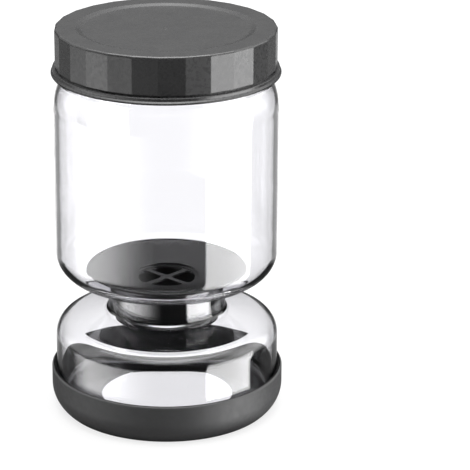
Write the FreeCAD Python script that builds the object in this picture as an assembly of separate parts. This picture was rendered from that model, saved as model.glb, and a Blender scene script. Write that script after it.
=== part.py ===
import FreeCAD, Part
import math
import os

# Hourglass pickle jar with a strainer in its waist: a faceted screw lid, a one-piece glass
# jar with two chambers, a moulded strainer, and a soft cup under the foot.
# Millimetres, +Z up, origin at the centre of the underside of the base.

Vector = FreeCAD.Vector
ORIGIN = Vector(0, 0, 0)
UP = Vector(0, 0, 1)

# ---- Fits ----
seat_gap = 0.25          # between pieces that rest on each other
side_gap = 0.3           # round pieces that slip inside each other

# ---- Glass jar: lower chamber, waist, upper chamber, mouth (outside sizes) ----
glass_wall = 2.3
glass_floor = 3.4        # floor of the lower chamber
lower_r = 53.6
lower_rise = 40.5        # foot to the corner of the lower shoulder
lower_round = 8.7        # corner between the lower wall and its shoulder
heel_round = 6.0         # corner at the foot
floor_round = 4.0        # inside corner on the floor
slope_deg = 12.8         # shoulder of the lower chamber and floor of the upper one
neck_r = 28.2
neck_h = 14.0            # waist between the two slopes
neck_round_low = 3.0
neck_round_high = 2.6
upper_r = 53.1
upper_rise = 86.5        # bottom corner of the upper chamber to its top shoulder
upper_round = 12.7       # bottom corner of the upper chamber
shoulder_in = 2.9        # how far the top shoulder leans in
shoulder_h = 8.4
shoulder_round = 34.0
shoulder_round_inside = 20.0
finish_in = 4.5          # finish that the lid screws on, inside the upper wall
finish_h = 20.4
finish_step = 1.6        # short slope from the shoulder to the finish, in and up
finish_round = 1.6
finish_round_inside = 10.0
mouth_round = 1.0
mouth_flat = 0.2         # level ring left between the two rounds of the mouth

# ---- Base: soft cup round the foot, with a round window in its floor ----
base_wall = 2.1
base_floor = 2.4
base_h = 19.9
ledge_w = 21.9           # floor between the glass's side and the window
base_round = 14.3        # outside corner, cut off flat by the underside
base_round_z = 10.9      # height at which the outside corner starts
rim_round = 1.0

# ---- Strainer: shallow dish, drain with a cross in it, collar in the waist ----
skin = 1.2               # wall of the moulding
dish_margin = 12.1       # rim of the dish to the inside of the upper wall
dish_depth = 4.6
dish_rim = 1.8           # thickness of the round bead along the rim
drain_r = 13.6           # circle round the four openings
drain_land = 1.6         # flat ring between the openings and the step
drain_step = 0.5         # drain below the lowest point of the dish
cross_w = 2.5            # arms of the cross
opening_round = 2.0      # corners of the openings
collar_h = 14.3          # collar below the top of the waist

# ---- Lid: faceted screw cap with a flared flange and a recessed top ----
lid_facets = 27
thread_room = 1.25       # between the glass finish and the lid's bore
lid_wall = 1.9           # thinnest, behind the middle of a facet
lid_top = 1.8
lid_clear = 3.25         # underside of the flange above the glass shoulder
lid_edge_round = 1.0
top_band_w = 9.75        # raised band round the recess
recess_run = 2.6
recess_d = 0.9
recess_round = 2.0
flange_out = 2.25        # beyond the flats of the facets
flange_h = 3.1
band_out = 1.5           # upright band over the flange's lip
lip_h = 1.3
lip_round = 0.6
groove_d = 0.5           # shadow groove between flange and facets
groove_h = 0.8
land_h = 1.2             # ring under the top that bears on the mouth
land_w = 4.6
gate_r = 1.2             # moulding mark in the middle of the top
gate_h = 0.25
gate_round = 0.2

# ---- Working sizes ----
over = 1.0               # how far a cutting shape runs past the face it opens
close = 0.01             # two heights this close are the same

# ---- Places worked out from the sizes ----
slope = math.tan(math.radians(slope_deg))
wall_on_slope = glass_wall / math.cos(math.radians(slope_deg))
foot_z = base_floor + seat_gap
lower_corner_z = foot_z + lower_rise
neck_low_z = lower_corner_z + (lower_r - neck_r) * slope
neck_high_z = neck_low_z + neck_h
upper_corner_z = neck_high_z + (upper_r - neck_r) * slope
shoulder_z = upper_corner_z + upper_rise
finish_z = shoulder_z + shoulder_h
mouth_z = finish_z + finish_step + finish_h
neck_bore_r = neck_r - glass_wall
finish_r = upper_r - finish_in
base_room_r = lower_r + side_gap
base_r = base_room_r + base_wall
base_window_r = base_room_r - ledge_w
dish_r = upper_r - glass_wall - dish_margin
lid_bore_r = finish_r + thread_room
lid_flat_r = lid_bore_r + lid_wall
lid_corner_r = lid_flat_r / math.cos(math.pi / lid_facets)
land_z = mouth_z + seat_gap
lid_top_z = land_z + land_h + lid_top
lid_z = finish_z + lid_clear
recess_r = lid_flat_r - top_band_w


def outline(corners):
    """Closed wire in the XZ plane through (r, z, round) corners, each eased by a tangent arc."""
    count = len(corners)
    joints = []
    for i, (r, z, radius) in enumerate(corners):
        here = Vector(r, 0, z)
        if radius == 0:
            joints.append((here, None, here))
            continue
        to_last = (Vector(corners[i - 1][0], 0, corners[i - 1][1]) - here).normalize()
        after = corners[(i + 1) % count]
        to_next = (Vector(after[0], 0, after[1]) - here).normalize()
        half = to_last.getAngle(to_next) / 2
        inward = (to_last + to_next).normalize()
        middle = here + inward * (radius / math.sin(half) - radius)
        reach = radius / math.tan(half)
        joints.append((here + to_last * reach, middle, here + to_next * reach))
    edges = []
    for i, (start, middle, end) in enumerate(joints):
        if middle is not None:
            edges.append(Part.Arc(start, middle, end).toShape())
        following = joints[(i + 1) % count][0]
        if end.distanceToPoint(following) > 1e-6:
            edges.append(Part.LineSegment(end, following).toShape())
    return Part.Wire(edges)


def turned(corners):
    """Solid of revolution about Z from (r, z, round) corners."""
    return Part.Face(outline(corners)).revolve(ORIGIN, UP, 360)


def tube(r_out, r_in, z_low, z_high):
    """Upright ring with square edges."""
    height = z_high - z_low
    at = Vector(0, 0, z_low)
    return Part.makeCylinder(r_out, height, at).cut(Part.makeCylinder(r_in, height, at))


def make_jar():
    """One-piece hourglass: the outside turned, less an inside that follows it one wall in."""
    lift = wall_on_slope - glass_wall * slope
    outside = [
        (0, foot_z, 0),
        (lower_r, foot_z, heel_round),
        (lower_r, lower_corner_z, lower_round),
        (neck_r, neck_low_z, neck_round_low),
        (neck_r, neck_high_z, neck_round_high),
        (upper_r, upper_corner_z, upper_round),
        (upper_r, shoulder_z, shoulder_round),
        (upper_r - shoulder_in, finish_z, finish_round),
        (finish_r, finish_z + finish_step, finish_round),
        (finish_r, mouth_z, mouth_round),
        (0, mouth_z, 0),
    ]
    above = mouth_z + over
    inside = [
        (0, foot_z + glass_floor, 0),
        (lower_r - glass_wall, foot_z + glass_floor, floor_round),
        (lower_r - glass_wall, lower_corner_z - lift, lower_round - glass_wall),
        (neck_bore_r, neck_low_z - lift, neck_round_low + glass_wall),
        (neck_bore_r, neck_high_z + lift, neck_round_high + glass_wall),
        (upper_r - glass_wall, upper_corner_z + lift, upper_round - glass_wall),
        (upper_r - glass_wall, shoulder_z, shoulder_round_inside),
        (finish_r - glass_wall, finish_z, finish_round_inside),
        (finish_r - glass_wall, above, 0),
        (0, above, 0),
    ]
    jar = turned(outside).cut(turned(inside))
    inner_lip = [e for e in jar.Edges
                 if abs(e.BoundBox.ZMin - mouth_z) < close
                 and e.BoundBox.XMax < finish_r - glass_wall + close]
    return jar.makeFillet(glass_wall - mouth_round - mouth_flat, inner_lip)


def make_base():
    """Soft cup: big outside corner, rounded rim, a floor with a round window."""
    corner_mid_r = base_r - base_round
    flat_r = corner_mid_r + math.sqrt(base_round ** 2 - base_round_z ** 2)
    halfway = math.radians(-30)
    corner = Part.Arc(Vector(flat_r, 0, 0),
                      Vector(corner_mid_r + base_round * math.cos(halfway), 0,
                             base_round_z + base_round * math.sin(halfway)),
                      Vector(base_r, 0, base_round_z)).toShape()
    rest = Part.makePolygon([Vector(base_r, 0, base_round_z), Vector(base_r, 0, base_h),
                             Vector(0, 0, base_h), Vector(0, 0, 0), Vector(flat_r, 0, 0)])
    cup = Part.Face(Part.Wire([corner] + rest.Edges)).revolve(ORIGIN, UP, 360)
    rim = [e for e in cup.Edges
           if abs(e.BoundBox.ZMin - base_h) < close and e.BoundBox.XMax > base_r - close]
    cup = cup.makeFillet(rim_round, rim)
    room = turned([(0, base_floor, 0), (base_room_r, base_floor, heel_round + side_gap),
                   (base_room_r, base_h + over, 0), (0, base_h + over, 0)])
    window = Part.makeCylinder(base_window_r, base_floor + 2 * over, Vector(0, 0, -over))
    return cup.cut(room).cut(window)


def drain_openings(low, high):
    """Four upright prisms: a disc parted by a diagonal cross, every corner rounded."""
    disc = Part.makeCylinder(drain_r, high - low, Vector(0, 0, low))
    for angle in (45, 135):
        arm = Part.makeBox(4 * drain_r, cross_w, high - low,
                           Vector(-2 * drain_r, -cross_w / 2, low))
        arm.rotate(ORIGIN, UP, angle)
        disc = disc.cut(arm)
    prisms = []
    for prism in disc.Solids:
        upright = [e for e in prism.Edges if e.BoundBox.ZLength > high - low - close]
        prisms.append(prism.makeFillet(opening_round, upright))
    return prisms


def make_strainer():
    """Moulded dish with a beaded rim, a sunk drain and a collar that hangs in the waist."""
    seat_z = neck_high_z + (dish_r - neck_r) * slope + wall_on_slope + seat_gap
    rim_z = seat_z + dish_rim / 2
    rim_r = dish_r - dish_rim / 2
    ball_r = (rim_r ** 2 + dish_depth ** 2) / (2 * dish_depth)
    ball_z = rim_z + skin / 2 - dish_depth + ball_r

    def bowl_z(r):
        """Height of the dish's upper face at radius r."""
        return ball_z - math.sqrt(ball_r ** 2 - r ** 2)

    middle = Vector(0, 0, ball_z)
    bowl = Part.makeSphere(ball_r + skin, middle).cut(Part.makeSphere(ball_r, middle))
    step_r = drain_r + drain_land
    bowl = bowl.common(tube(rim_r, step_r, 0, rim_z + skin))
    drain_z = bowl_z(0) - drain_step
    pan = turned([(0, drain_z - skin, 0),
                  (step_r + skin, drain_z - skin, skin),
                  (step_r + skin, bowl_z(step_r) - skin / 2, 0),
                  (step_r + skin / 2, bowl_z(step_r), 0),
                  (step_r, bowl_z(step_r), 0),
                  (step_r, drain_z, skin / 2),
                  (0, drain_z, 0)])
    bead = Part.makeTorus(rim_r, dish_rim / 2, Vector(0, 0, rim_z))
    collar_r = neck_bore_r - side_gap
    collar_z = neck_high_z - collar_h
    collar = tube(collar_r, collar_r - skin, collar_z + skin / 2,
                  bowl_z(collar_r) - skin / 2)
    hem = Part.makeTorus(collar_r - skin / 2, skin / 2, Vector(0, 0, collar_z + skin / 2))
    strainer = bowl.fuse([pan, bead, collar, hem]).removeSplitter()
    for prism in drain_openings(drain_z - 2 * skin, drain_z + 2 * skin):
        strainer = strainer.cut(prism)
    return strainer


def facet_prism(z_low, z_high):
    """Upright prism with the lid's facets, one corner on +X."""
    turn = 2 * math.pi / lid_facets
    corners = [Vector(lid_corner_r * math.cos(turn * i), lid_corner_r * math.sin(turn * i), z_low)
               for i in range(lid_facets)]
    face = Part.Face(Part.makePolygon(corners + corners[:1]))
    return face.extrude(Vector(0, 0, z_high - z_low))


def make_lid():
    """Screw cap: faceted wall, flared flange below a shadow groove, shallow recess on top."""
    flange_z = lid_z + flange_h
    wall = facet_prism(flange_z + groove_h, lid_top_z)
    top_edges = [e for e in wall.Edges if e.BoundBox.ZMin > lid_top_z - close]
    wall = wall.makeFillet(lid_edge_round, top_edges)
    flange_r = lid_flat_r + flange_out
    band_r = lid_flat_r + band_out
    core_r = lid_flat_r - groove_d
    flange = turned([(0, lid_z, 0),
                     (flange_r, lid_z, lip_round),
                     (flange_r, lid_z + lip_h - (flange_r - band_r) / 2, lip_round / 2),
                     (band_r, lid_z + lip_h + (flange_r - band_r) / 2, lip_round / 2),
                     (band_r, flange_z, lip_round / 2),
                     (core_r, flange_z, 0),
                     (core_r, flange_z + groove_h + over, 0),
                     (0, flange_z + groove_h + over, 0)])
    lid = wall.fuse(flange)
    top = lid_top_z
    recess = turned([(0, top - recess_d, 0),
                     (recess_r - recess_run, top - recess_d, recess_round),
                     (recess_r, top, recess_round),
                     (recess_r + recess_run, top, 0),
                     (recess_r + recess_run, top + over, 0),
                     (0, top + over, 0)])
    bore = turned([(0, lid_z - over, 0),
                   (lid_bore_r, lid_z - over, 0),
                   (lid_bore_r, top - lid_top, lip_round),
                   (finish_r, top - lid_top, lip_round),
                   (finish_r, land_z, 0),
                   (finish_r - land_w, land_z, 0),
                   (finish_r - land_w, top - recess_d - lid_top, 0),
                   (0, top - recess_d - lid_top, 0)])
    gate = turned([(0, top - recess_d - lid_top / 2, 0),
                   (gate_r, top - recess_d - lid_top / 2, 0),
                   (gate_r, top - recess_d + gate_h, gate_round),
                   (0, top - recess_d + gate_h, 0)])
    return lid.cut(recess).cut(bore).fuse(gate).removeSplitter()


pieces = {
    "base": make_base(),
    "jar": make_jar(),
    "strainer": make_strainer(),
    "lid": make_lid(),
}

os.makedirs("parts", exist_ok=True)
for name, shape in pieces.items():
    solid = shape.Solids[0]
    solid.exportStep("parts/%s.step" % name)
    print("%-9s solids %d  valid %s  %.1f cm3  z %.2f to %.2f"
          % (name, len(shape.Solids), solid.isValid(), solid.Volume / 1000,
             solid.BoundBox.ZMin, solid.BoundBox.ZMax))
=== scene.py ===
import math

import bmesh
import bpy
import numpy as np
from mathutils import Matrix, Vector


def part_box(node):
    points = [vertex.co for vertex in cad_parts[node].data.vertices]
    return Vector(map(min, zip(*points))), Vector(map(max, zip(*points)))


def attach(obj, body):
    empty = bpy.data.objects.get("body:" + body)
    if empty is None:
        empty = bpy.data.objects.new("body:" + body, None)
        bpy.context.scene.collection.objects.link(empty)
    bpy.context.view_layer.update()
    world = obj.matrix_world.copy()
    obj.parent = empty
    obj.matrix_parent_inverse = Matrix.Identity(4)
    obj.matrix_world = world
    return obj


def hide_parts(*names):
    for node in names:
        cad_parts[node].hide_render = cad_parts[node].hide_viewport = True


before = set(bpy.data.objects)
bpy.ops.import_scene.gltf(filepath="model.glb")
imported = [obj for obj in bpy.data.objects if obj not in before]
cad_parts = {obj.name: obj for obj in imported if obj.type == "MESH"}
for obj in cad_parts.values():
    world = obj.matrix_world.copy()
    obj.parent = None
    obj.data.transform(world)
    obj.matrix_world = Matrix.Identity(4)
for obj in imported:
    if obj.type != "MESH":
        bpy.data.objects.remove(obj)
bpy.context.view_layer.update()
mm = 0.001

# ---- Camera ----
# A long lens a little over a metre away, looking down on the jar by twenty degrees.

camera = bpy.data.objects.new("camera", bpy.data.cameras.new("camera"))
bpy.context.scene.collection.objects.link(camera)
bpy.context.scene.camera = camera
looks_down = math.radians(20.345)
camera.location = (9.8 * mm, -1103.2 * mm, 494.3 * mm)
camera.rotation_euler = (math.radians(90) - looks_down, 0, 0)
camera.data.sensor_width = 36
camera.data.lens = 188
camera.data.shift_x = 0.102
bpy.context.scene.view_settings.view_transform = "Standard"

# ---- Studio: table, surroundings, lamps ----
# A white table under the jar, with soft lamps at both sides, behind and above.
# Whatever is seen straight or only through glass is the white background. Glossy plastic
# and the glass's own reflections show the lamps and the dark gaps between them.


class Nodes:
    """A node tree with short calls to add and join its nodes."""

    def __init__(self, owner):
        owner.use_nodes = True
        self.tree = owner.node_tree
        self.tree.nodes.clear()

    def add(self, kind, inputs=(), **settings):
        """Node of that kind; inputs maps a socket to a value or to another node's output."""
        node = self.tree.nodes.new(kind)
        for name, value in settings.items():
            setattr(node, name, value)
        for socket, value in dict(inputs).items():
            if isinstance(value, bpy.types.NodeSocket):
                self.tree.links.new(value, node.inputs[socket])
            else:
                node.inputs[socket].default_value = value
        return node

    def math(self, operation, a, b=0.0, c=0.0, clamp=False):
        """Output of a Math node on two or three values or outputs."""
        node = self.add("ShaderNodeMath", {0: a, 1: b, 2: c}, operation=operation)
        node.use_clamp = clamp
        return node.outputs[0]

    def ramp(self, value, low, high, at_low=0.0, at_high=1.0, smooth=True):
        """value taken from low..high to at_low..at_high, with eased ends if smooth."""
        node = self.add("ShaderNodeMapRange",
                        {0: value, 1: low, 2: high, 3: at_low, 4: at_high},
                        interpolation_type="SMOOTHSTEP" if smooth else "LINEAR")
        return node.outputs[0]


def seen_through_glass_only(nodes):
    """1 on a ray that comes from the camera straight or through glass alone, else 0.
    A reflection is left out: it sees the lamps and the dark gaps, not the background."""
    path = nodes.add("ShaderNodeLightPath")
    bounces = nodes.math("ADD", path.outputs["Glossy Depth"], path.outputs["Diffuse Depth"])
    straight = nodes.math("MAXIMUM", path.outputs["Is Camera Ray"],
                          path.outputs["Is Transmission Ray"])
    return nodes.math("MULTIPLY", straight, nodes.math("LESS_THAN", bounces, 0.5))


world = bpy.data.worlds.new("studio")
bpy.context.scene.world = world
sky = Nodes(world)
toward = sky.add("ShaderNodeSeparateXYZ",
                 {0: sky.add("ShaderNodeTexCoord").outputs["Generated"]}).outputs
azimuth = sky.math("MULTIPLY", sky.math("ARCTAN2", toward[0], toward[1]), 180 / math.pi)
elevation = sky.math("MULTIPLY", sky.math("ARCSINE", toward[2]), 180 / math.pi)


def panel(azimuths, elevations, strength, soft=1.0):
    """Light between two azimuths and two elevations, in degrees, fading over soft at its edges.
    Azimuth 0 is behind the jar and 90 is on its right."""
    sides = [sky.ramp(azimuth, azimuths[0] - soft, azimuths[0] + soft),
             sky.ramp(azimuth, azimuths[1] + soft, azimuths[1] - soft),
             sky.ramp(elevation, elevations[0] - soft, elevations[0] + soft),
             sky.ramp(elevation, elevations[1] + soft, elevations[1] - soft)]
    value = sides[0]
    for side in sides[1:]:
        value = sky.math("MULTIPLY", value, side)
    return sky.math("MULTIPLY", value, strength)


# The right lamp has hard edges. The left one is dimmer and fades towards both its ends, and
# the one behind brightens upwards. Below the horizon, only reflections see the lamps.
left_lamp = sky.math("MULTIPLY", panel((-167, -20), (-28, -12), 1.0, soft=2),
                     sky.math("MULTIPLY", sky.ramp(azimuth, -168, -105, 0.1, 3.9),
                              sky.ramp(azimuth, -95, -62, 1.0, 0.0)))
behind = sky.math("MULTIPLY", panel((-45, 45), (-5, 85), 1.0, soft=15),
                  sky.ramp(elevation, -2, 60, 0.0, 1.1))
light = sky.ramp(elevation, 42, 78, 0.02, 8.5)
for lamp in (
        panel((83, 138), (-40, 6), 7.2),
        panel((50, 130), (8, 40), 1.5, soft=6),
        left_lamp,
        behind,
        panel((-105, -52), (0, 60), 1.3, soft=8),
        panel((52, 105), (0, 60), 1.3, soft=8),
        panel((-19, 16), (-22.3, -9), 0.75, soft=3),
        panel((-64, 64), (-22.3, -9), 0.3, soft=3)):
    light = sky.math("ADD", light, lamp)
white = seen_through_glass_only(sky)
strength = sky.math("ADD", white,
                    sky.math("MULTIPLY", light, sky.math("SUBTRACT", 1.0, white)))
sky.add("ShaderNodeOutputWorld",
        {0: sky.add("ShaderNodeBackground", {0: (1, 1, 1, 1), 1: strength}).outputs[0]})

# The table is pale itself and glows where it is seen straight, most in the middle, where the
# glass over it takes light away. Past near_table, a reflection sees the studio, not the table.
floor_size = 8.0
middle_table, near_table = 30 * mm, 60 * mm
floor_mesh = bpy.data.meshes.new("table")
floor_mesh.from_pydata([(-floor_size, -floor_size, 0), (floor_size, -floor_size, 0),
                        (floor_size, floor_size, 0), (-floor_size, floor_size, 0)],
                       [], [(0, 1, 2, 3)])
table = bpy.data.objects.new("table", floor_mesh)
bpy.context.scene.collection.objects.link(table)
table_white = bpy.data.materials.new("table_white")
nodes = Nodes(table_white)
path = nodes.add("ShaderNodeLightPath").outputs
from_middle = nodes.add("ShaderNodeVectorMath", {
    0: nodes.add("ShaderNodeTexCoord").outputs["Object"]}, operation="LENGTH").outputs["Value"]
glow = nodes.math("MULTIPLY_ADD", seen_through_glass_only(nodes),
                  nodes.ramp(from_middle, middle_table, near_table, 1.0, 0.72),
                  nodes.math("MULTIPLY", path["Is Diffuse Ray"], 0.4))
lit = nodes.add("ShaderNodeAddShader", {
    0: nodes.add("ShaderNodeBsdfDiffuse", {0: (0.16, 0.16, 0.16, 1)}).outputs[0],
    1: nodes.add("ShaderNodeEmission", {0: (1, 1, 1, 1), 1: glow}).outputs[0]})
gone = nodes.math("MULTIPLY", nodes.math("GREATER_THAN", path["Glossy Depth"], 0.5),
                  nodes.math("GREATER_THAN", from_middle, near_table))
nodes.add("ShaderNodeOutputMaterial", {0: nodes.add("ShaderNodeMixShader", {
    0: gone, 1: lit.outputs[0], 2: nodes.add("ShaderNodeBsdfTransparent").outputs[0],
}).outputs[0]})
floor_mesh.materials.append(table_white)

# ---- Base ----
# Soft silicone cup round the foot of the glass, moulded in one piece and pushed on.
# Its floor has a round window, and its outside curves in to a smaller foot.

base_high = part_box("base")[1]
base_r, base_h = base_high.x, base_high.z
base_wall, base_floor = 2.1 * mm, 2.4 * mm
room_r = base_r - base_wall
window_r = 32 * mm
outer_round, outer_round_z = 14.3 * mm, 10.9 * mm
rim_round, heel_room, window_round = 1.0 * mm, 6.3 * mm, 0.5 * mm


def eased(corners, points=10, guard=0.3 * mm, ring=True):
    """Outline through (r, z, round) corners: each corner gives way to the arc that touches both
    of its runs, and each run gets a point close to each end so that it stays straight."""
    table = np.array(corners, float)
    here, radius = table[:, :2], table[:, 2:]
    back, ahead = np.roll(here, 1, 0) - here, np.roll(here, -1, 0) - here
    back_run = np.linalg.norm(back, axis=1, keepdims=True)
    ahead_run = np.linalg.norm(ahead, axis=1, keepdims=True)
    back, ahead = back / back_run, ahead / ahead_run
    half = np.arccos(np.clip((back * ahead).sum(1, keepdims=True), -1, 1)) / 2
    reach = radius / np.tan(half)
    inward = (back + ahead) / np.linalg.norm(back + ahead, axis=1, keepdims=True)
    middle = here + inward * radius / np.sin(half)
    start, end = here + back * reach, here + ahead * reach
    sweep = math.pi - 2 * half
    t = np.linspace(0, 1, points)[None, :, None]
    arcs = middle[:, None] + ((start - middle)[:, None] * np.sin((1 - t) * sweep[:, None])
                              + (end - middle)[:, None] * np.sin(t * sweep[:, None])
                              ) / np.sin(sweep)[:, None]
    arcs = np.concatenate([
        (start + back * np.minimum(guard, back_run / 5))[:, None], arcs,
        (end + ahead * np.minimum(guard, ahead_run / 5))[:, None]], 1)
    outline = arcs.reshape(-1, 2)
    if not ring:
        outline = outline[1:-1]
    step = np.linalg.norm(outline - np.roll(outline, 1, 0), axis=1)
    return outline[step > 1e-7] if ring else outline[np.r_[True, step[1:] > 1e-7]]


def surface(name, *grids):
    """Piece over grids of points, each given with whether its rows and its columns close into
    rings. Points that coincide, at a pole or where two grids meet, become one, and faces are
    turned outwards."""
    corners, quads, count = [], [], 0
    for points, rows_close, columns_close in grids:
        rows, columns = points.shape[:2]
        index = count + np.arange(rows * columns).reshape(rows, columns)
        count += rows * columns
        if rows_close:
            index = np.vstack([index, index[:1]])
        if columns_close:
            index = np.hstack([index, index[:, :1]])
        corners.append(points.reshape(-1, 3))
        quads.append(np.stack([index[:-1, :-1], index[1:, :-1], index[1:, 1:], index[:-1, 1:]],
                              -1).reshape(-1, 4))
    mesh = bpy.data.meshes.new(name)
    mesh.from_pydata(np.vstack(corners).tolist(), [], np.vstack(quads).tolist())
    knit = bmesh.new()
    knit.from_mesh(mesh)
    bmesh.ops.remove_doubles(knit, verts=knit.verts, dist=1e-6)
    bmesh.ops.recalc_face_normals(knit, faces=knit.faces)
    knit.to_mesh(mesh)
    knit.free()
    mesh.shade_smooth()
    piece = bpy.data.objects.new(name, mesh)
    bpy.context.scene.collection.objects.link(piece)
    return piece


def turned(outline, around=256):
    """Surface of revolution: outline point (r, z) goes to (r cos a, r sin a, z) at each angle."""
    angle = np.arange(around)[:, None] * 2 * math.pi / around
    r, z = outline[:, 0], outline[:, 1]
    return np.stack([r * np.cos(angle), r * np.sin(angle), z + 0 * angle], -1)


low_angle = -math.asin(outer_round_z / outer_round)
corner = np.linspace(low_angle, 0, 24)[:, None]
outside = (np.array([base_r - outer_round, outer_round_z])
           + outer_round * np.hstack([np.cos(corner), np.sin(corner)]))
rest = eased([
    (base_r, outer_round_z, 0),
    (base_r, base_h, rim_round),
    (room_r, base_h, rim_round),
    (room_r, base_floor, heel_room),
    (window_r, base_floor, window_round),
    (window_r, 0, window_round),
    (outside[0, 0], 0, 0),
], ring=False)
base = surface("base_cup", (turned(np.vstack([outside, rest[1:-1]])), True, True))


def finish(name):
    """New material: its nodes, and the Principled shader that ends in its output."""
    look = bpy.data.materials.new(name)
    nodes = Nodes(look)
    shader = nodes.add("ShaderNodeBsdfPrincipled")
    nodes.add("ShaderNodeOutputMaterial", {0: shader.outputs[0]})
    return look, nodes, shader


def grain(nodes, size, detail=2.0):
    """Noise whose lumps are about size across, on the piece's own coordinates."""
    return nodes.add("ShaderNodeTexNoise", {
        "Vector": nodes.add("ShaderNodeTexCoord").outputs["Object"],
        "Scale": 1 / size, "Detail": detail, "Roughness": 0.5}).outputs[0]


def moulded(name, colour, rough, skin=None, specular=0.5):
    """Finish of a moulded piece. Its colour drifts between two greys, its roughness between two
    values, each in lumps of a size, and skin is the size, strength and depth of a fine relief."""
    look, nodes, shader = finish(name)
    lump, dark, light = colour
    shade = nodes.add("ShaderNodeMix", {0: grain(nodes, lump), 6: (*dark, 1), 7: (*light, 1)},
                      data_type="RGBA")
    nodes.tree.links.new(shade.outputs[2], shader.inputs["Base Color"])
    lump, smoothest, roughest = rough
    nodes.tree.links.new(nodes.ramp(grain(nodes, lump), 0.3, 0.7, smoothest, roughest),
                         shader.inputs["Roughness"])
    shader.inputs["Specular IOR Level"].default_value = specular
    if skin:
        lump, strength, depth = skin
        relief = nodes.add("ShaderNodeBump", {"Strength": strength, "Distance": depth,
                                              "Height": grain(nodes, lump)})
        nodes.tree.links.new(relief.outputs[0], shader.inputs["Normal"])
    return look


def painted_shade(name, lump):
    """Painted shade: a near-black material with little gloss that stands in for the shade on faces
    turned away from the light.
    """
    return moulded(name, (lump, (0.006,) * 3, (0.011,) * 3), (lump / 2, 0.55, 0.65),
                   specular=0.12)


def paint_shade_inside(piece, look, above):
    """Gives the look to every face over that height that doesn't face away from the axis; here that
    look is painted shade on the insides.
    """
    piece.data.materials.append(look)
    middle, out = np.empty((2, len(piece.data.polygons), 3))
    piece.data.polygons.foreach_get("center", middle.ravel())
    piece.data.polygons.foreach_get("normal", out.ravel())
    outwards = (middle[:, :2] * out[:, :2]).sum(1) / np.hypot(middle[:, 0], middle[:, 1])
    inside = (outwards < 0.1) & (middle[:, 2] > above)
    piece.data.polygons.foreach_set("material_index", inside.astype(np.int32))


base.data.materials.append(moulded(
    "silicone", (6 * mm, (0.040, 0.040, 0.041), (0.052, 0.052, 0.053)), (2 * mm, 0.5, 0.58),
    skin=(0.25 * mm, 0.2, 0.05 * mm), specular=0.45))
# Painted shade: the cup's inside, its floor and the top of its rim get a near-black material with
# little gloss, standing in for the shade where the glass stands in the cup.
paint_shade_inside(base, painted_shade("silicone_painted_shade", 3 * mm), base_floor - 0.4 * mm)
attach(base, "root")
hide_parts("base")

# ---- Jar ----
# One-piece hourglass of clear glass, blown in a mould: a low chamber, a narrow waist and a
# tall chamber with a finish on top for the lid. Its foot stands in the base.

foot_z = base_floor + 0.25 * mm
wall, glass_floor = 2.3 * mm, 3.4 * mm
glass_r = 53.6 * mm
neck_r, upper_r, finish_r = 28.2 * mm, 53.1 * mm, 48.6 * mm
slope_angle = math.radians(12.8)
slope = math.tan(slope_angle)
lower_corner_z = foot_z + 40.5 * mm
neck_low_z = lower_corner_z + (glass_r - neck_r) * slope
neck_high_z = neck_low_z + 14 * mm
upper_corner_z = neck_high_z + (upper_r - neck_r) * slope
shoulder_z = upper_corner_z + 86.5 * mm
finish_z = shoulder_z + 8.4 * mm
mouth_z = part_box("jar")[1].z
mouth_round = 1.05 * mm
lift = wall / math.cos(slope_angle) - wall * slope
# Under the waist the inside is thicker than the wall, past the inside of the jar's solid.
thick_at_waist, thick_at_shoulder = 1.4 * mm, 0.6 * mm
jar_outline = eased([
    (0, foot_z, 0),
    (glass_r, foot_z, 6 * mm),  # heel
    (glass_r, lower_corner_z, 8.7 * mm),  # lower shoulder
    (neck_r, neck_low_z, 3 * mm),  # waist, below and above
    (neck_r, neck_high_z, 2.6 * mm),
    (upper_r, upper_corner_z, 12.7 * mm),  # bottom corner of the tall chamber
    (upper_r, shoulder_z, 34 * mm),  # top shoulder, rolled in to the finish
    (upper_r - 2.9 * mm, finish_z, 1.6 * mm),
    (finish_r, finish_z + 1.6 * mm, 1.6 * mm),
    (finish_r, mouth_z, mouth_round),
    (finish_r - wall, mouth_z, mouth_round),  # inside, from the mouth down
    (finish_r - wall, finish_z, 10 * mm),
    (upper_r - wall, shoulder_z, 20 * mm),
    (upper_r - wall, upper_corner_z + lift, 10.4 * mm),
    (neck_r - wall, neck_high_z + lift, 4.9 * mm),
    (neck_r - wall, neck_low_z - lift - thick_at_waist, 3.0 * mm),
    (glass_r - wall, lower_corner_z - lift - thick_at_shoulder, 6.4 * mm),
    (glass_r - wall, foot_z + glass_floor, 4 * mm),
    (0, foot_z + glass_floor, 0),
], points=12, ring=False)
jar = surface("jar_glass", (turned(jar_outline), True, False))

clear, nodes, shader = finish("clear_glass")
shader.inputs["Base Color"].default_value = (0.974, 0.972, 0.990, 1)
shader.inputs["Roughness"].default_value = 0.0
shader.inputs["IOR"].default_value = 1.5
shader.inputs["Transmission Weight"].default_value = 1.0
waves = nodes.add("ShaderNodeBump", {"Strength": 0.35, "Distance": 0.12 * mm,
                                     "Height": grain(nodes, 16 * mm, detail=1.0)})
nodes.tree.links.new(waves.outputs[0], shader.inputs["Normal"])
jar.data.materials.append(clear)
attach(jar, "root")
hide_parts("jar")

# ---- Strainer ----
# Moulded in glossy black plastic: a shallow dish with a beaded rim, a sunk drain of four
# openings parted by a cross, and a short collar under it that hangs in the waist of the jar.

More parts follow.
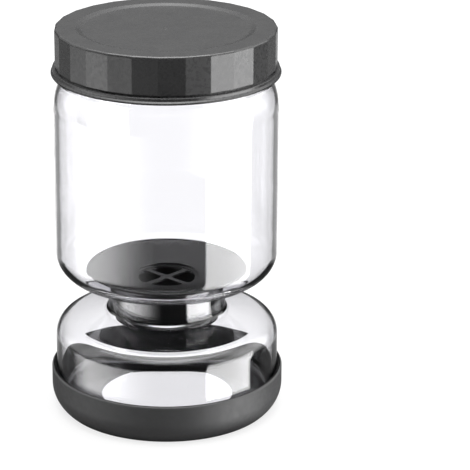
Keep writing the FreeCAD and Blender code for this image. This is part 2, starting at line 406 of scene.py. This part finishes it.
moulding = 1.2 * mm
dish_r = upper_r - wall - 12.1 * mm
bead_r = 0.9 * mm
seat_z = neck_high_z + (dish_r - neck_r) * slope + wall / math.cos(slope_angle) + 0.25 * mm
rim_z, rim_r = seat_z + bead_r, dish_r - bead_r
dish_depth = 4.6 * mm
ball_r = (rim_r ** 2 + dish_depth ** 2) / (2 * dish_depth)
ball_z = rim_z + moulding / 2 - dish_depth + ball_r
drain_z = ball_z - ball_r - 0.5 * mm
drain_r, arm_half, opening_round = 13.6 * mm, 1.25 * mm, 2.0 * mm
step_r, pan_r = 15.2 * mm, 14.4 * mm
opening_edge, heart_r = 0.2 * mm, 8.2 * mm


def bowl(r, thick=0.0):
    """Height at radius r of the ball that the dish follows, or of its underside."""
    return ball_z - np.sqrt((ball_r + thick) ** 2 - r ** 2)


def drain_opening():
    """Closed outline of the opening towards +X: a quarter of a disc, less half an arm on each
    side, with its corners rounded. The round's centre goes along the quarter shrunk by the
    round, and each outline point is one round away from it."""
    run = drain_r - opening_round
    inset = arm_half + opening_round
    along = math.sqrt(run ** 2 - inset ** 2)
    far = np.array([along + inset, along - inset]) / math.sqrt(2)
    turn = math.atan2(far[1], far[0])
    half = math.pi * 3 / 4

    def arc(middle, radius, first, last):
        angle = np.linspace(first, last, 60)[:, None]
        return np.array(middle) + radius * np.hstack([np.cos(angle), np.sin(angle)])

    ring = np.vstack([
        arc((0, 0), drain_r, -turn, turn),
        arc(far, opening_round, turn, half),
        arc((inset * math.sqrt(2), 0), opening_round, half, 2 * math.pi - half),
        arc((far[0], -far[1]), opening_round, -half, -turn),
    ])
    lengths = np.r_[0, np.cumsum(np.linalg.norm(np.diff(ring, axis=0), axis=1))]
    even = np.linspace(0, lengths[-1], 1440)
    return np.stack([np.interp(even, lengths, ring[:, 0]), np.interp(even, lengths, ring[:, 1])], 1)


def drain_quarter():
    """Quarter of the drain's plate round its opening, as a grid. One parameter goes round the
    quarter's border: out along one arm's middle, along the pan's ring, back along the other.
    The other goes from the border over the top to the opening, down its wall, and back below,
    on straight rays from heart, a point inside the opening."""
    out = np.linspace(0, pan_r, 28)[:, None] / math.sqrt(2)
    ring = np.arange(-32, 33)[:, None] * math.pi / 128
    border = np.vstack([out * np.array([1, -1]),
                        pan_r * np.hstack([np.cos(ring), np.sin(ring)])[1:-1],
                        out[::-1] * np.array([1, 1])])[:-1]
    heart = np.array([heart_r, 0])
    opening = drain_opening() - heart
    bearing = np.arctan2(opening[:, 1], opening[:, 0])
    order = np.argsort(bearing)
    ray = border - heart
    toward_border = np.arctan2(ray[:, 1], ray[:, 0])
    reach = np.interp(toward_border, bearing[order], np.linalg.norm(opening, axis=1)[order],
                      period=2 * math.pi)
    way = ray / np.linalg.norm(ray, axis=1, keepdims=True)
    edge = np.linspace(0, math.pi / 2, 6)
    back_off = opening_edge * (1 - np.sin(edge))
    down = opening_edge * (1 - np.cos(edge))
    offsets = np.r_[back_off, back_off[::-1]]
    heights = np.r_[drain_z - down, (drain_z - moulding + down)[::-1]]
    lips = heart + way * (reach + offsets[:, None])[..., None]
    near = np.array([0.5 * mm, 0.2 * mm]) / arm_half
    shelf = heart + way * (reach + opening_edge
                           + (np.linalg.norm(ray, axis=1) - reach - opening_edge)
                           * near[:, None])[..., None]
    flat = np.concatenate([border[None], shelf, lips, shelf[::-1], border[None]])
    top, under = drain_z, drain_z - moulding
    z = np.r_[top, top, top, heights, under, under, under]
    return np.concatenate([flat, np.broadcast_to(z[:, None, None], flat.shape[:2] + (1,))], -1)


quarter = drain_quarter()
quarters = [(np.stack([c * quarter[..., 0] - s * quarter[..., 1],
                       s * quarter[..., 0] + c * quarter[..., 1], quarter[..., 2]], -1),
             False, True)
            for c, s in ((1, 0), (0, 1), (-1, 0), (0, -1))]
reach_in = np.linspace(step_r + 0.5 * mm, rim_r - 0.4 * mm, 40)
top_run = np.stack([reach_in, bowl(reach_in)], 1)
under_run = np.stack([reach_in[::-1], bowl(reach_in[::-1], moulding)], 1)
around_bead = np.linspace(math.radians(130), math.radians(-130), 28)[:, None]
bead = np.array([rim_r, rim_z]) + bead_r * np.hstack([np.cos(around_bead), np.sin(around_bead)])
step_top = eased([(pan_r, drain_z, 0), (step_r, drain_z, 0.4 * mm),
                  (step_r + 0.1 * mm, bowl(step_r), 0.25 * mm),
                  (step_r + 0.5 * mm, bowl(step_r + 0.5 * mm), 0)], points=6, ring=False)
step_out = step_r + moulding
step_under = eased([(step_out + 0.5 * mm, bowl(step_out + 0.5 * mm, moulding), 0),
                    (step_out + 0.02 * mm, bowl(step_out, moulding), 0.3 * mm),
                    (step_out, drain_z - moulding, 1.1 * mm),
                    (pan_r, drain_z - moulding, 0)], points=6, ring=False)
under_run = under_run[under_run[:, 0] > step_out + 0.7 * mm]
dish_outline = np.vstack([step_top, top_run[1:], bead, under_run, step_under])
dish = surface("strainer_dish", (turned(dish_outline), False, False), *quarters)

black_gloss = moulded(
    "black_gloss_plastic", (5 * mm, (0.024, 0.024, 0.025), (0.032, 0.032, 0.032)),
    (3 * mm, 0.06, 0.11), skin=(5 * mm, 0.15, 0.03 * mm))
dish.data.materials.append(black_gloss)
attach(dish, "root")
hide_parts("strainer")

collar_r = neck_r - wall - 0.3 * mm
collar_z = neck_high_z - 14.3 * mm
hem_r = moulding / 2 - 0.005 * mm
collar = surface("strainer_collar", (turned(eased([
    (collar_r, collar_z, hem_r),
    (collar_r, bowl(collar_r, moulding / 2), 0),
    (collar_r - moulding, bowl(collar_r - moulding, moulding / 2), 0),
    (collar_r - moulding, collar_z, hem_r),
])), True, True))
collar.data.materials.append(black_gloss)
# Painted shade: the collar's inside gets a near-black material with little gloss, standing in for
# the shade inside the waist of the jar.
paint_shade_inside(collar, painted_shade("plastic_painted_shade", 1 * mm), collar_z)
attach(collar, "root")
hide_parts("strainer")

# ---- Lid ----
# Screw cap moulded in grey plastic with a fine grain: a wall of flat facets over a flared
# flange, and a shallow round recess on top with the mark of the moulding gate in it.

lid_low, lid_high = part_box("lid")
facets = 27
facet_half = math.pi / facets
facet_round = 2.5 * mm
bore_r = finish_r + 1.25 * mm
flat_r = bore_r + 1.9 * mm
flange_r, band_r, core_r = flat_r + 2.25 * mm, flat_r + 1.5 * mm, flat_r - 0.5 * mm
flange_z = lid_low.z + 3.1 * mm
wall_z = flange_z + 0.8 * mm
top_z = lid_high.z
recess_r, recess_run, recess_d = flat_r - 9.75 * mm, 2.6 * mm, 0.9 * mm
gate_r, gate_h = 1.2 * mm, 0.25 * mm
land_z, land_r = mouth_z + 0.25 * mm, finish_r - 4.6 * mm
under_top = top_z - 1.8 * mm


def facet_radius(flat, offset):
    """Distance from the axis to a faceted wall whose flats are flat away from it, at an angle
    offset from the middle of a facet: flat / cos(offset), and near a corner the circle that
    touches both flats."""
    offset = np.abs(offset)
    inner = (flat - facet_round) / math.cos(facet_half)
    touch = np.arctan((flat - facet_round) * math.tan(facet_half) / flat)
    to_corner = facet_half - offset
    rounded = inner * np.cos(to_corner) + np.sqrt(facet_round ** 2
                                                  - (inner * np.sin(to_corner)) ** 2)
    return np.where(offset > touch, rounded, flat / np.cos(offset))


touch_angle = math.atan((flat_r - facet_round) * math.tan(facet_half) / flat_r)
across = np.r_[0, touch_angle * np.array([0.35, 0.7, 0.94]),
               np.linspace(touch_angle, facet_half, 5)]
across = np.r_[-across[:0:-1], across[:-1]]
middles = (np.arange(facets) + 0.5) * 2 * facet_half
around_lid = (middles[:, None] + across).ravel()
offsets_lid = np.tile(across, facets)

edge_round = 1.0 * mm
bend = np.linspace(0, math.pi / 2, 8)
wall_rows = np.vstack([
    [[flat_r - 0.15 * mm, wall_z], [flat_r - 0.05 * mm, wall_z + 0.05 * mm],
     [flat_r, wall_z + 0.15 * mm], [flat_r, wall_z + 0.5 * mm],
     [flat_r, top_z - edge_round - 0.4 * mm]],
    np.stack([flat_r - edge_round * (1 - np.cos(bend)),
              top_z - edge_round * (1 - np.sin(bend))], 1)])
under_rows = eased([
    (0, under_top - recess_d, 0),  # ceiling
    (land_r, under_top - recess_d, 0.3 * mm),
    (land_r, land_z, 0.2 * mm),  # land that rests on the mouth
    (finish_r, land_z, 0.2 * mm),
    (finish_r, under_top, 0.2 * mm),
    (bore_r, under_top, 0.2 * mm),  # bore, with room for the thread
    (bore_r, lid_low.z, 0.3 * mm),
    (flange_r, lid_low.z, 0.6 * mm),  # flange, and the band over it
    (flange_r, lid_low.z + 0.925 * mm, 0.3 * mm),
    (band_r, lid_low.z + 1.675 * mm, 0.3 * mm),
    (band_r, flange_z, 0.3 * mm),
    (core_r, flange_z, 0.15 * mm),  # groove under the facets
    (core_r, wall_z, 0.1 * mm),
    (flat_r - 0.15 * mm, wall_z, 0),
], points=7, ring=False)[:-1]
top_rows = eased([
    (flat_r - edge_round, top_z, 0),
    (recess_r, top_z, 2.0 * mm),
    (recess_r - recess_run, top_z - recess_d, 2.0 * mm),
    (gate_r, top_z - recess_d, 0.12 * mm),
    (gate_r - 0.05 * mm, top_z - recess_d + gate_h, 0.15 * mm),
    (0, top_z - recess_d + gate_h, 0),
], points=8, ring=False)
top_rows = np.vstack([[[flat_r - edge_round - 0.4 * mm, top_z],
                       [flat_r - edge_round - 2 * mm, top_z]],
                      top_rows[top_rows[:, 0] < flat_r - 5 * mm]])
lid_rows = np.vstack([under_rows, wall_rows, top_rows])
faceted = np.r_[np.zeros(len(under_rows)), np.ones(len(wall_rows)), [0.9, 0.5],
                np.zeros(len(top_rows) - 2)][:, None]
flats = lid_rows[:, :1]
smallest_flat = 20 * mm
lid_radius = flats + faceted * (facet_radius(np.maximum(flats, smallest_flat), offsets_lid)
                                - flats)
lid_grid = np.stack([lid_radius * np.cos(around_lid), lid_radius * np.sin(around_lid),
                     lid_rows[:, 1:] + 0 * around_lid], -1)
lid = surface("lid_cap", (lid_grid, False, True))

lid.data.materials.append(moulded(
    "grained_plastic", (8 * mm, (0.028, 0.028, 0.029), (0.042, 0.042, 0.042)),
    (1.5 * mm, 0.25, 0.33), skin=(0.7 * mm, 0.3, 0.05 * mm)))
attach(lid, "root")
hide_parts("lid")
